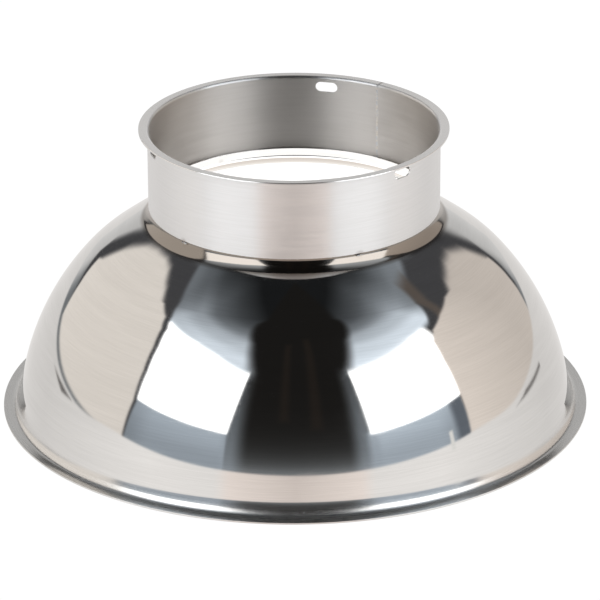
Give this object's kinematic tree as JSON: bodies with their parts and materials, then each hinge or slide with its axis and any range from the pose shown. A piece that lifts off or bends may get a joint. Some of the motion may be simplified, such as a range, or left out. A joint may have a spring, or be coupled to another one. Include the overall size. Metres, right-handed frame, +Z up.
{
  "type": "heat lamp shade",
  "caption": "Polished stainless bell dome with a flat rim flange, topped by a short brushed collar whose flared lip and slotted wall fix it under a heat lamp head.",
  "frame": {"origin": "on the lamp axis in the plane of the rim flange's underside, on which the shade stands", "axes": "+Z up along the lamp axis, from the rim to the collar; +X to the right and -Y towards the viewer of the pictured side"},
  "size_m": [0.254, 0.254, 0.1265],
  "materials": {
    "polished_steel": "mirror-polished stainless steel with faint spinning lines",
    "brushed_steel": "satin stainless steel brushed around the collar",
    "weld_metal": "dressed weld with a straw and blue heat tint"
  },
  "bodies": {
    "root": {"reflector_dome": "polished_steel", "collar_band": "brushed_steel", "collar_seam_weld": "weld_metal", "tack_weld_1": "weld_metal", "tack_weld_2": "weld_metal", "tack_weld_3": "weld_metal", "tack_weld_4": "weld_metal"}
  },
  "joints": []
}
